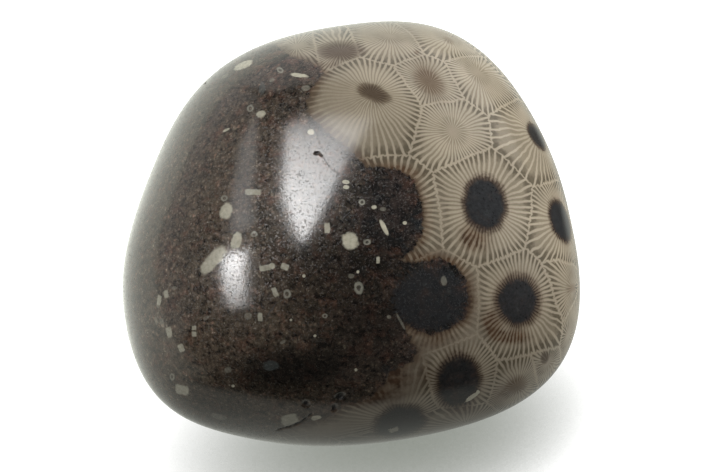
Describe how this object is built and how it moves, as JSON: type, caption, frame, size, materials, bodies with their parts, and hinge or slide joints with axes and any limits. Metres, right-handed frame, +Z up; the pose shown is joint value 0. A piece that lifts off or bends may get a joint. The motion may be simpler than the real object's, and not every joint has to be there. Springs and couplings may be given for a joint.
{
  "type": "petoskey stone",
  "caption": "Rounded, polished pebble of fossil coral limestone, with six-sided coral cells on one side and dark plain limestone on the other.",
  "frame": {"origin": "middle of the pebble's footprint, on the surface that it rests on", "axes": "+Z up from the flat worn underside, along the shortest extent; +X to the coral side, along the longest extent; -Y to the side that faces the viewer"},
  "size_m": [0.0676, 0.0648, 0.0472],
  "materials": {
    "polished_limestone": "polished"
  },
  "bodies": {
    "root": {"stone": "polished_limestone"}
  },
  "joints": []
}
